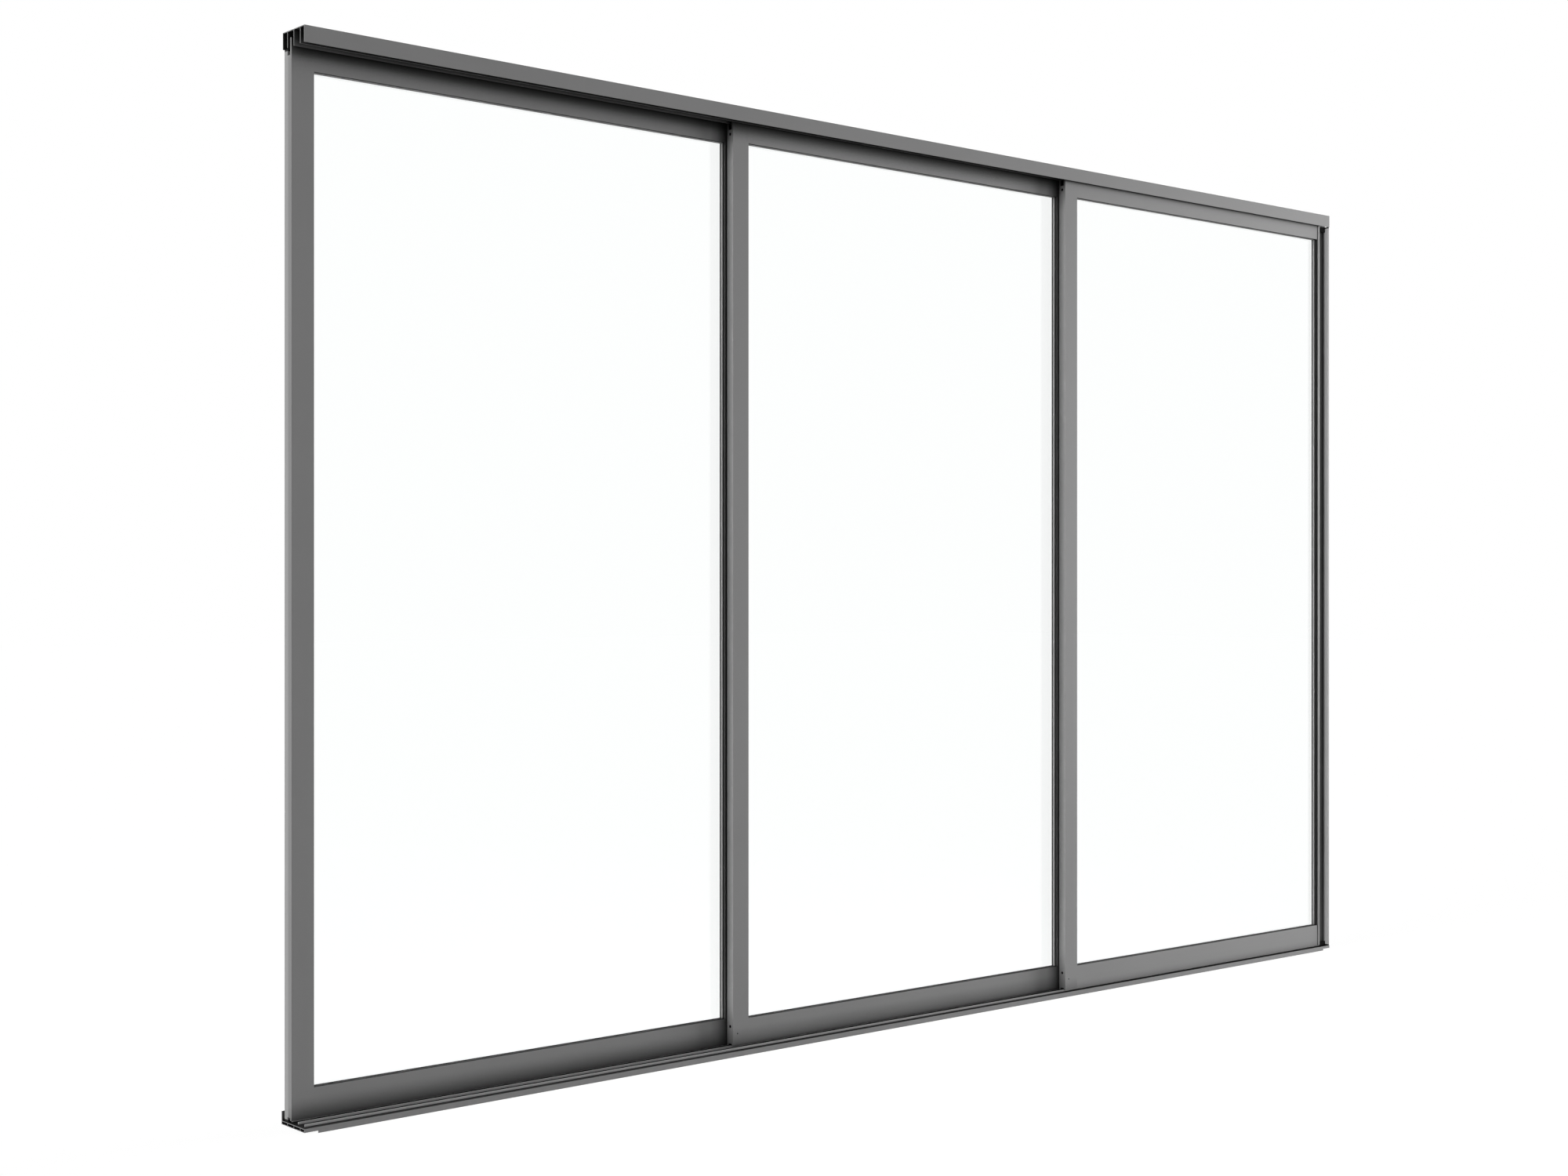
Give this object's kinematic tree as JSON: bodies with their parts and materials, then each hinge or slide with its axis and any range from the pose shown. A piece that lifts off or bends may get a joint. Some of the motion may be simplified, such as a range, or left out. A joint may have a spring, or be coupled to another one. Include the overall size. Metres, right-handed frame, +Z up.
{
  "type": "sliding glass door",
  "caption": "Framed clear-glass panels that slide past each other between a slim channelled top track and a low floor track with running rails.",
  "frame": {"origin": "on the floor, in the middle of the floor track's underside", "axes": "+X along the door to the right seen from the front, +Y to the back, +Z up"},
  "size_m": [3.874, 0.109, 2.5],
  "materials": {
    "frame": "satin grey anodised",
    "track": "satin grey anodised",
    "running_rail": "satin, worn bright",
    "bead": "satin grey anodised",
    "glass": "clear",
    "gasket": "matte black",
    "pad": "matte black",
    "housing": "zinc plated",
    "roller": "moulded nylon",
    "guide": "moulded nylon"
  },
  "bodies": {
    "root": {"top_track": "track", "top_track_flanges": "track", "floor_track": "track", "running_rail_front": "running_rail", "running_rail_middle": "running_rail", "running_rail_rear": "running_rail", "floor_lip": "track", "floor_pad": "pad"},
    "left_panel": {"left_wall_stile": "frame", "left_grip_cover": "frame", "left_grip_flange": "frame", "left_meeting_stile": "frame", "left_top_rail": "frame", "left_bottom_rail": "frame", "left_rail_flanges": "frame", "left_glass": "glass", "left_gaskets": "gasket", "left_glazing_beads": "bead", "left_roller_housings": "housing", "left_roller_wheels": "roller", "left_top_guides": "guide"},
    "middle_panel": {"middle_left_stile": "frame", "middle_right_stile": "frame", "middle_top_rail": "frame", "middle_bottom_rail": "frame", "middle_rail_flanges": "frame", "middle_glass": "glass", "middle_gaskets": "gasket", "middle_glazing_beads": "bead", "middle_roller_housings": "housing", "middle_roller_wheels": "roller", "middle_top_guides": "guide"},
    "right_panel": {"right_meeting_stile": "frame", "right_wall_stile": "frame", "right_grip_cover": "frame", "right_grip_flange": "frame", "right_top_rail": "frame", "right_bottom_rail": "frame", "right_rail_flanges": "frame", "right_glass": "glass", "right_gaskets": "gasket", "right_glazing_beads": "bead", "right_roller_housings": "housing", "right_roller_wheels": "roller", "right_top_guides": "guide"}
  },
  "joints": [
    {"name": "left_panel_slide", "type": "slide", "parent": "root", "child": "left_panel", "axis": [1, 0, 0], "range_m": [0, 2.5433]},
    {"name": "middle_panel_slide", "type": "slide", "parent": "root", "child": "middle_panel", "axis": [1, 0, 0], "range_m": [-1.2736, 1.2736]},
    {"name": "right_panel_slide", "type": "slide", "parent": "root", "child": "right_panel", "axis": [1, 0, 0], "range_m": [-2.5433, 0]}
  ]
}
